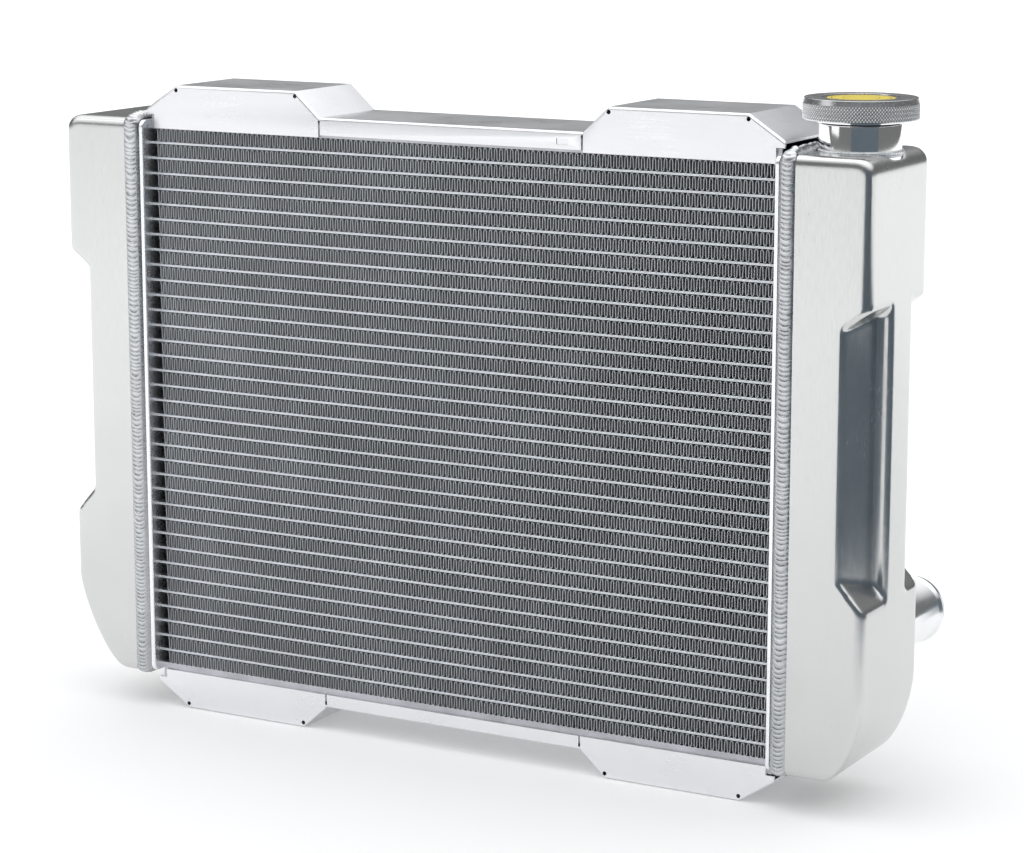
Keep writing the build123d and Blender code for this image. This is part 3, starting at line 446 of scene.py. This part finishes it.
def long_weld(name, node, side, seed):
    """A closed bead carried round the tank's rounded rectangle.

    Station s runs round the loop, v across the bead.  The top stands off the tank by a sine arch
    times WELD_RISE, and a slanted saw wave of s with a curved front cuts it into drops.
    """
    low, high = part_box(node)
    chance = np.random.default_rng(seed)
    half_y = (high.y - low.y) / 2 - BEAD_OUT
    half_z = (high.z - low.z) / 2 - BEAD_OUT
    mid_y, mid_z = (high.y + low.y) / 2, (high.z + low.z) / 2
    corner = BEAD_CORNER
    runs = [2 * (half_y - corner), 2 * (half_z - corner)]
    arc = corner * math.pi / 2
    total = 2 * sum(runs) + 4 * arc
    count = int(total / (0.42 * MM))
    s = np.arange(count) / count * total
    marks = np.cumsum([0.0, runs[0], arc, runs[1], arc, runs[0], arc, runs[1], arc])
    leg = np.clip(np.searchsorted(marks, s, side="right") - 1, 0, 7)
    along = s - marks[leg]
    heading = np.where(leg % 2 == 0, 0.0, along / corner) + (leg // 2) * (math.pi / 2)
    starts = np.array([[-half_y + corner, -half_z], [half_y, -half_z + corner],
                       [half_y - corner, half_z], [-half_y, half_z - corner]])
    centres = np.array([[half_y - corner, -half_z + corner], [half_y - corner, half_z - corner],
                        [-half_y + corner, half_z - corner], [-half_y + corner, -half_z + corner]])
    tangent = np.stack([np.cos(heading), np.sin(heading)], -1)
    outward = np.stack([np.sin(heading), -np.cos(heading)], -1)
    straight = starts[leg // 2] + tangent * along[:, None]
    curved = centres[leg // 2] + outward * corner
    path = np.where((leg % 2 == 0)[:, None], straight, curved)
    v = np.linspace(0.0, 1.0, 15)[None, :]
    slow = sum(np.sin(2 * math.pi * k * s / total + chance.uniform(0, 6.28)) / k ** 0.4
               for k in (3, 7, 13, 29, 53, 97))[:, None]
    wander = np.cumsum(chance.normal(0.0, 0.22, int(total / WELD_PITCH) + 3))
    wander -= np.linspace(wander[0], wander[-1], len(wander))
    steps = np.arange(len(wander))
    uneven = chance.uniform(0.45, 1.0, len(wander))
    drops = s / WELD_PITCH
    drop = np.interp(drops, steps, uneven)[:, None]
    phase = (drops + np.interp(drops, steps, wander))[:, None] + 1.1 * (2 * v - 1.1) ** 2 + 0.1 * slow
    saw = phase - np.floor(phase)
    scale = np.sin(math.pi * saw ** 0.6)
    main = np.sin(math.pi * np.clip((v - 0.16) / 0.84, 0, 1)) ** 0.55
    toe = np.sin(math.pi * np.clip(v / 0.30, 0, 1))
    wrinkle = 0.5 + 0.5 * np.sin(phase * 9.7 + 5 * v)
    on_top = np.interp(s, [marks[4] - corner, marks[4] + corner, marks[5] - corner, marks[5] + corner],
                       [0.0, 1.0, 1.0, 0.0])[:, None]
    relief = main * (0.42 + 0.46 * scale * drop + 0.05 * slow) + toe * (0.18 + 0.10 * wrinkle)
    relief = np.clip(relief, 0.0, 1.0)
    lift = WELD_RISE * relief * (1 + TOP_EXTRA * on_top)
    x_inner, x_outer = HEADER_FACE + 0.1 * MM, HEADER_FACE + DROP_END
    x_top = x_inner + (x_outer - x_inner) * v + 0.25 * MM * (slow + 2 * drop) * (v > 0.5) * (v - 1.3)
    sag = -1.7 * MM * (1 - np.clip(v / 0.28, 0, 1)) ** 1.5 - 0.12 * MM * (v > 0.93)
    n_top = sag + lift
    under_x = np.array([x_outer - 0.2 * MM, x_inner + DROP_START, x_inner])[None, :] + 0 * s[:, None]
    under_n = np.array([-0.9 * MM, -2.6 * MM, -2.9 * MM])[None, :] + 0 * s[:, None]
    x = np.concatenate([x_top, under_x], 1)
    n = np.concatenate([n_top, under_n], 1)
    y = mid_y + path[:, None, 0] + outward[:, None, 0] * n
    z = mid_z + path[:, None, 1] + outward[:, None, 1] * n
    points = np.stack([CORE_X + side * x, y, z], -1)
    # Painted shade: darkest in the grooves between drops, toward the bead's edges and on its underside.
    shade = np.concatenate([scale * (0.4 + 0.6 * main) * (0.6 + 0.4 * drop), 0 * under_x], 1)
    if side < 0:
        points, shade = points[:, ::-1], shade[:, ::-1]
    made = surface_mesh(name, points, wrap_u=True, wrap_v=True)
    store_groove_shade(made, shade)
    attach(made, "radiator")
    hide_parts(node)
    return made


weld_finish = metal_finish("weld_filler", (0.70, 0.72, 0.74), 0.30, grain=(900.0, 900.0, 900.0),
                           grain_depth=0.00004, mottle=120.0, mottle_change=0.16, rough_change=0.12)
# Painted shade: the bead's colour falls to 0.55 of its own in its grooves.
darken(weld_finish, groove_shade_value(weld_finish), 0.55)
plain_weld_finish = metal_finish("small_weld", (0.74, 0.76, 0.78), 0.30, grain=(700.0, 700.0, 700.0),
                                 grain_depth=0.00006, mottle=160.0, mottle_change=0.2)
for node, side, seed in (("left_tank_weld", -1, 21), ("right_tank_weld", 1, 22)):
    bead = long_weld(node.replace("weld", "bead"), node, side, seed)
    bead.data.materials.append(weld_finish)

# ------------------------------------------------------------------ mount channels
# Each channel is one sheet folded down both long sides, slit and raised into two hats.
# Front and top share one pale, faintly mottled finish.
FOLD_ANGLE = 24
WORN_EDGE = 0.35 * MM
sheet_finish = metal_finish("folded_sheet", (0.88, 0.88, 0.90), 0.30, grain=(30.0, 700.0, 700.0),
                            grain_depth=0.000004, mottle=26.0, mottle_change=0.03, rough_change=0.05)
for channel in ("top", "bottom"):
    folded = merged_copy(channel + "_channel", channel + "_mount_channel", "radiator",
                         sheet_finish, FOLD_ANGLE)
    edges = folded.modifiers.new("worn_edges", "BEVEL")
    edges.limit_method = "ANGLE"
    edges.angle_limit = math.radians(FOLD_ANGLE)
    edges.width = WORN_EDGE
    edges.segments = 2
    edges.harden_normals = True
dress(plain_weld_finish, "top_mount_welds", "bottom_mount_welds")


# ------------------------------------------------------------------ filler neck and ring welds
# The neck is turned from billet and polished to a mirror, and a thin bead joins it to the tank.
# The hose necks are spun tube, and the drain sits in a small welded bung.
def ring_weld(name, node, axis, spread, drop_pitch, seed, tail=0.0):
    """A closed ring bead: a quarter arch across, cut into drops by a saw wave round the ring.

    Axis 2 stands on a face with Z out of it, axis 1 on a face with Y out of it.
    """
    low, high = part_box(node)
    centre = (low + high) / 2
    chance = np.random.default_rng(seed)
    inner = max(high.x - low.x, high.z - low.z if axis == 1 else high.y - low.y) / 2 - spread
    round_count = int(2 * math.pi * inner / (0.4 * MM))
    turn = np.arange(round_count) / round_count * 2 * math.pi
    drops = round(2 * math.pi * inner / drop_pitch)
    v = np.linspace(0.0, math.pi / 2, 8)[None, :]
    phase = turn[:, None] * drops / (2 * math.pi) + 0.4 * (v / 1.57 - 0.5) ** 2
    saw = phase - np.floor(phase)
    waver = 0.05 * np.sin(turn * 3 + chance.uniform(0, 6))[:, None]
    swell = spread * (0.72 + 0.2 * np.sin(math.pi * saw ** 0.6) + waver)
    radius = inner + swell * np.cos(v)
    out = swell * np.sin(v)
    flat = 0 * turn[:, None]
    radius = np.concatenate([flat + inner, flat + inner + spread * 0.7, radius], 1)
    out = np.concatenate([flat - tail, flat - tail, out], 1)
    if axis == 2:
        base = high.z - spread
        points = np.stack([centre.x + radius * np.cos(turn)[:, None],
                           centre.y + radius * np.sin(turn)[:, None], base + out], -1)
    else:
        points = np.stack([centre.x + radius * np.sin(turn)[:, None], low.y + out,
                           centre.z + radius * np.cos(turn)[:, None]], -1)
    made = surface_mesh(name, points[:, ::-1] if axis == 1 else points, wrap_u=True, wrap_v=True)
    made.data.materials.append(plain_weld_finish)
    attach(made, "radiator")
    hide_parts(node)


ring_weld("neck_bead", "filler_neck_weld", 2, 1.6 * MM, 2.2 * MM, 31, tail=2.8 * MM)
ring_weld("inlet_bead", "inlet_neck_weld", 1, 3.0 * MM, 2.8 * MM, 32)
ring_weld("outlet_bead", "outlet_neck_weld", 1, 2.1 * MM, 2.8 * MM, 33)
ring_weld("bung_bead", "drain_bung_weld", 1, 2.0 * MM, 2.4 * MM, 34)


def close_turned(made, smooth_angle):
    """Joins the points that meet on the axis, turns faces outward and keeps edges sharp past an angle."""
    work = bmesh.new()
    work.from_mesh(made.data)
    bmesh.ops.remove_doubles(work, verts=work.verts, dist=1e-7)
    bmesh.ops.recalc_face_normals(work, faces=work.faces)
    work.to_mesh(made.data)
    work.free()
    made.data.set_sharp_from_angle(angle=math.radians(smooth_angle))


def narrow(half_angle):
    """A test of the angle round an axis: true within half_angle degrees of either end of the X line."""
    return lambda turn: np.abs(np.sin(turn)) < math.sin(math.radians(half_angle))


def lathe(name, node, body, finish, profile, centre, axis=2, swap=None, around=240):
    """A turned piece: its profile of (radius, place along the axis) in mm, carried round the axis.

    swap holds profile numbers whose radius changes to another value where a test of the angle is true.
    """
    radius, along = np.array(profile, dtype=float).T
    turn = np.arange(around) / around * 2 * math.pi
    radius = np.tile(radius, (around, 1))
    for columns, other, where_true in swap or ():
        radius[np.ix_(where_true(turn), columns)] = other
    radius, along = radius * MM, np.tile(along * MM, (around, 1))
    side, up = radius * np.cos(turn)[:, None], radius * np.sin(turn)[:, None]
    if axis == 2:
        points = np.stack([centre[0] + side, centre[1] + up, along], -1)
    else:
        points = np.stack([centre[0] + up, centre[1] + along, centre[2] + side], -1)
    made = surface_mesh(name, points, wrap_u=True, wrap_v=True)
    close_turned(made, 35)
    made.data.materials.append(finish)
    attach(made, body)
    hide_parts(node)


cap_low, cap_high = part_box("cap_knob")
CAP_X, CAP_Y = (cap_low.x + cap_high.x) / 2, (cap_low.y + cap_high.y) / 2
neck_finish = metal_finish("mirror_turned", (0.90, 0.90, 0.90), 0.11, grain=(60.0, 60.0, 2500.0),
                           grain_depth=0.000004, mottle=10.0, mottle_change=0.02, rough_change=0.03)
neck_low, neck_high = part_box("filler_neck")
NECK_LOW, NECK_HIGH = neck_low.z / MM, neck_high.z / MM
NECK_OUT = (neck_high.x - neck_low.x) / 2 / MM
NECK_IN, LIP_IN, SEAT_IN, SEAT_TOP = 21.0, 18.2, 12.0, NECK_LOW + 3.0
NECK_ROUND, LIP_THICK = 0.7, 4.0
NOTCH_HALF, EAR_HALF = 20, 15
neck_profile = [
    (SEAT_IN, NECK_LOW), (NECK_OUT, NECK_LOW), (NECK_OUT, NECK_HIGH - NECK_ROUND),
    (NECK_OUT - 0.2, NECK_HIGH - 0.2), (NECK_OUT - NECK_ROUND, NECK_HIGH), (LIP_IN, NECK_HIGH),
    (LIP_IN, NECK_HIGH - LIP_THICK), (NECK_IN, NECK_HIGH - LIP_THICK), (NECK_IN, SEAT_TOP),
    (SEAT_IN, SEAT_TOP),
]
lathe("turned_neck", "filler_neck", "radiator", neck_finish, neck_profile,
      (CAP_X, CAP_Y), swap=[([5, 6], NECK_IN, narrow(NOTCH_HALF))])

# The cap's flange and plug, with two ears that pass the neck's notches.
# A place is given twice where an ear's step needs two corners at one height.
flange_low, flange_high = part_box("cap_bayonet")
PLUG_LOW, FLANGE_HIGH = flange_low.z / MM, flange_high.z / MM
FLANGE_OUT = (flange_high.x - flange_low.x) / 2 / MM
PLUG_OUT, PLUG_IN, STEM_HOLE, EAR_OUT = 17.85, 15.95, 3.05, 20.4
EAR_LOW, EAR_HIGH, FLANGE_LOW = PLUG_LOW + 1.0, PLUG_LOW + 4.5, FLANGE_HIGH - 1.4
bayonet_profile = [
    (STEM_HOLE, FLANGE_LOW), (PLUG_IN, FLANGE_LOW), (PLUG_IN, PLUG_LOW), (PLUG_OUT, PLUG_LOW),
    (PLUG_OUT, EAR_LOW), (PLUG_OUT, EAR_LOW), (PLUG_OUT, EAR_HIGH), (PLUG_OUT, EAR_HIGH),
    (PLUG_OUT, FLANGE_LOW), (FLANGE_OUT, FLANGE_LOW), (FLANGE_OUT, FLANGE_HIGH),
    (STEM_HOLE, FLANGE_HIGH),
]
lathe("turned_bayonet", "cap_bayonet", "cap_turning", neck_finish, bayonet_profile,
      (CAP_X, CAP_Y), swap=[([5, 6], EAR_OUT, narrow(EAR_HALF))])
spun_finish = metal_finish("spun_tube", (0.86, 0.87, 0.88), 0.20, grain=(80.0, 1800.0, 80.0),
                           grain_depth=0.000006, mottle=30.0, mottle_change=0.05, rough_change=0.06)
HOSE_WALL, HOSE_BEAD, BEAD_SET, BEAD_HALF = 2.5, 1.7, 7.0, 2.8
for hose_end in ("inlet_neck", "outlet_neck"):
    hose_low, hose_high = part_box(hose_end)
    reach = (hose_high.y - hose_low.y) / MM
    outer = (hose_high.x - hose_low.x) / 2 / MM - HOSE_BEAD
    bead_middle = reach - BEAD_SET
    hose_profile = [(outer - HOSE_WALL, 0.0), (outer, 0.0)]
    for u in np.linspace(-1.0, 1.0, 11):
        swell = HOSE_BEAD * math.cos(u * math.pi / 2) ** 2
        hose_profile.append((outer + swell, bead_middle + u * BEAD_HALF))
    hose_profile += [
        (outer, reach - 0.9), (outer - 0.3, reach - 0.3), (outer - 0.9, reach), (outer - 1.7, reach),
        (outer - 2.3, reach - 0.3), (outer - HOSE_WALL, reach - 0.9),
    ]
    hose_centre = ((hose_low.x + hose_high.x) / 2, hose_low.y, (hose_low.z + hose_high.z) / 2)
    lathe("spun_" + hose_end, hose_end, "radiator", spun_finish, hose_profile,
          hose_centre, axis=1)
for spun in ("overflow_nipple", "drain_bung"):
    merged_copy("spun_" + spun, spun, "radiator", spun_finish, 50)

# ------------------------------------------------------------------ drain cock
# A small brass cock, dulled brown, with a flat thumb wing on its screw.
drain_finish = metal_finish("dull_brass", (0.36, 0.31, 0.24), 0.40, mottle=160.0, mottle_change=0.3)
merged_copy("cast_cock", "drain_cock_body", "radiator", drain_finish, 50)
merged_copy("wing_screw", "drain_stem", "drain_screw", drain_finish, 50)

# ------------------------------------------------------------------ pressure cap
# The knob is turned from billet: a diamond knurl round its rim, a plain taper above it, a fine-turned
# grey top with a shallow recess, and a plain yellow disc glued into it.
CAP_LOW, CAP_HIGH = cap_low.z / MM, cap_high.z / MM
CAP_RADIUS = (cap_high.x - cap_low.x) / 2 / MM
KNURL_COUNT = 112
KNURL_STEPS = 6
KNURL_DEPTH = 0.55
KNURL_LOW, KNURL_HIGH = CAP_LOW + 0.8, CAP_HIGH - 3.7
SOCKET_RADIUS, SOCKET_DEPTH = 6.35, 3.1
RECESS_RADIUS, RECESS_DEPTH = 25.0, 1.4
DISC_RADIUS = 21.7


def knurled_knob():
    """The knob's closed profile carried round, with the rim band pressed into diamonds.

    Two families of slanted triangle waves cross the band.  The lower of the two waves at a point,
    times KNURL_DEPTH, is how far the metal stands above the bottom of the grooves.
    """
    around = KNURL_COUNT * KNURL_STEPS
    cell = 2 * math.pi * CAP_RADIUS / KNURL_COUNT
    rows = int((KNURL_HIGH - KNURL_LOW) / cell * KNURL_STEPS) + 1
    band = np.linspace(KNURL_LOW, KNURL_HIGH, rows)
    socket_top = CAP_LOW + SOCKET_DEPTH
    lower = [
        (0, socket_top), (SOCKET_RADIUS, socket_top), (SOCKET_RADIUS, CAP_LOW),
        (CAP_RADIUS - 0.9, CAP_LOW), (CAP_RADIUS - 0.45, CAP_LOW + 0.12),
        (CAP_RADIUS - 0.42, KNURL_LOW - 0.05),
    ]
    top = CAP_HIGH
    upper = [
        (CAP_RADIUS - 0.42, KNURL_HIGH + 0.05), (CAP_RADIUS - 0.25, top - 3.45),
        (CAP_RADIUS - 0.95, top - 0.22), (CAP_RADIUS - 1.2, top), (RECESS_RADIUS + 0.3, top),
        (RECESS_RADIUS + 0.1, top - 0.1), (RECESS_RADIUS, top - 0.3), (RECESS_RADIUS, top - 1.3),
        (RECESS_RADIUS - 0.1, top - RECESS_DEPTH), (0, top - RECESS_DEPTH),
    ]
    profile = np.array(lower + [(CAP_RADIUS - KNURL_DEPTH, z) for z in band] + upper)
    turn = np.arange(around) / around * 2 * math.pi
    radius = np.broadcast_to(profile[:, 0], (around, len(profile))).copy()
    round_phase = turn[:, None] * KNURL_COUNT / (2 * math.pi)
    up_phase = band[None, :] / cell / 1.15
    first = np.abs(2 * ((round_phase + up_phase) % 1.0) - 1)
    second = np.abs(2 * ((round_phase - up_phase) % 1.0) - 1)
    stand = np.clip(np.minimum(first, second) * 1.5, 0.0, 1.0)
    radius[:, len(lower):len(lower) + len(band)] += KNURL_DEPTH * stand
    # Painted shade: these values set the knurl's colour, darkest in its grooves.
    relief = np.ones(radius.shape)
    relief[:, len(lower):len(lower) + len(band)] = stand
    points = np.stack([CAP_X + MM * radius * np.cos(turn)[:, None],
                       CAP_Y + MM * radius * np.sin(turn)[:, None],
                       np.broadcast_to(profile[:, 1] * MM, radius.shape)], -1)
    made = surface_mesh("cap_grip", points, wrap_u=True, wrap_v=True)
    store_groove_shade(made, relief)
    close_turned(made, 30)
    return made


def cap_axis_place(tree):
    """Object coordinates measured from the cap's axis, with the height left out."""
    where = tree.nodes.new("ShaderNodeTexCoord")
    centre = tree.nodes.new("ShaderNodeMapping")
    centre.inputs["Location"].default_value = (-CAP_X, -CAP_Y, 0.0)
    centre.inputs["Scale"].default_value = (1.0, 1.0, 0.0)
    tree.links.new(where.outputs["Object"], centre.inputs["Vector"])
    return centre.outputs["Vector"]


def turned_top(name, colour, roughness, rings, ring_depth):
    """Metal with fine rings round the cap's axis: a sine of the distance from it."""
    made = metal_finish(name, colour, roughness, mottle=70.0, mottle_change=0.06)
    tree = made.node_tree
    shader = tree.nodes["Principled BSDF"]
    wave = tree.nodes.new("ShaderNodeTexWave")
    wave.wave_type = "RINGS"
    wave.rings_direction = "SPHERICAL"
    wave.inputs["Scale"].default_value = rings
    wave.inputs["Distortion"].default_value = 0.3
    press = tree.nodes.new("ShaderNodeBump")
    press.inputs["Distance"].default_value = ring_depth
    tree.links.new(cap_axis_place(tree), wave.inputs["Vector"])
    tree.links.new(wave.outputs["Fac"], press.inputs["Height"])
    tree.links.new(press.outputs["Normal"], shader.inputs["Normal"])
    return made


knob = knurled_knob()
knob.data.materials.append(turned_top("turned_billet", (0.62, 0.62, 0.63), 0.24, 420.0, 0.00001))
knurl_finish = metal_finish("knurled_billet", (0.95, 0.95, 0.96), 0.42, mottle=70.0, mottle_change=0.06)
# Painted shade: the knurl's colour falls to 0.10 of its own in the grooves between diamonds.
darken(knurl_finish, groove_shade_value(knurl_finish), 0.10)
knob.data.materials.append(knurl_finish)
for face in knob.data.polygons:
    on_rim = math.hypot(face.center.x - CAP_X, face.center.y - CAP_Y) > (CAP_RADIUS - 0.7) * MM
    face.material_index = int(on_rim and KNURL_LOW * MM < face.center.z < KNURL_HIGH * MM)
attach(knob, "cap_turning")
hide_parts("cap_knob")


def disc_finish():
    """Yellow lacquer with two thin dark rings, set by the distance from the cap's axis."""
    made = bpy.data.materials.new("yellow_disc")
    made.use_nodes = True
    tree = made.node_tree
    shader = tree.nodes["Principled BSDF"]
    shader.inputs["Roughness"].default_value = 0.35
    reach = tree.nodes.new("ShaderNodeVectorMath")
    reach.operation = "LENGTH"
    to_ramp = tree.nodes.new("ShaderNodeMapRange")
    to_ramp.inputs["From Max"].default_value = DISC_RADIUS * MM
    bands = tree.nodes.new("ShaderNodeValToRGB")
    bands.color_ramp.interpolation = "CONSTANT"
    yellow, ink = (0.86, 0.68, 0.08, 1.0), (0.10, 0.09, 0.05, 1.0)
    bands.color_ramp.elements[0].color = yellow
    bands.color_ramp.elements[1].position = 0.86
    bands.color_ramp.elements[1].color = ink
    for position, colour in ((0.89, yellow), (0.52, ink), (0.545, yellow)):
        bands.color_ramp.elements.new(position).color = colour
    speck = tree.nodes.new("ShaderNodeTexNoise")
    speck.inputs["Scale"].default_value = 260.0
    blend = tree.nodes.new("ShaderNodeMix")
    blend.data_type = "RGBA"
    blend.blend_type = "MULTIPLY"
    blend.inputs["Factor"].default_value = 0.12
    where = tree.nodes.new("ShaderNodeTexCoord")
    tree.links.new(where.outputs["Object"], speck.inputs["Vector"])
    tree.links.new(cap_axis_place(tree), reach.inputs[0])
    tree.links.new(reach.outputs["Value"], to_ramp.inputs["Value"])
    tree.links.new(to_ramp.outputs["Result"], bands.inputs["Fac"])
    tree.links.new(bands.outputs["Color"], blend.inputs[6])
    tree.links.new(speck.outputs["Color"], blend.inputs[7])
    tree.links.new(blend.outputs[2], shader.inputs["Base Color"])
    return made


dress(disc_finish(), "cap_label")

# ------------------------------------------------------------------ inside the cap
# Brass stem and valves, a drawn steel spring and black rubber seals.
brass_finish = metal_finish("turned_brass", (0.72, 0.56, 0.30), 0.25, mottle=90.0, mottle_change=0.1)
merged_copy("turned_stem", "cap_guide_stem", "cap_centre", brass_finish, 50)
merged_copy("turned_valve", "pressure_valve", "relief_valve", brass_finish, 50)
merged_copy("turned_poppet", "vacuum_valve", "vacuum_poppet", brass_finish, 50)
spring_finish = metal_finish("drawn_wire", (0.60, 0.60, 0.63), 0.3, mottle=200.0)
dress(spring_finish, "pressure_spring")
rubber_finish = metal_finish("black_rubber", (0.022, 0.022, 0.024), 0.62,
                             mottle=150.0, mottle_change=0.3, metallic=0.0)
dress(rubber_finish, "cap_gasket", "pressure_seal", "drain_seal")
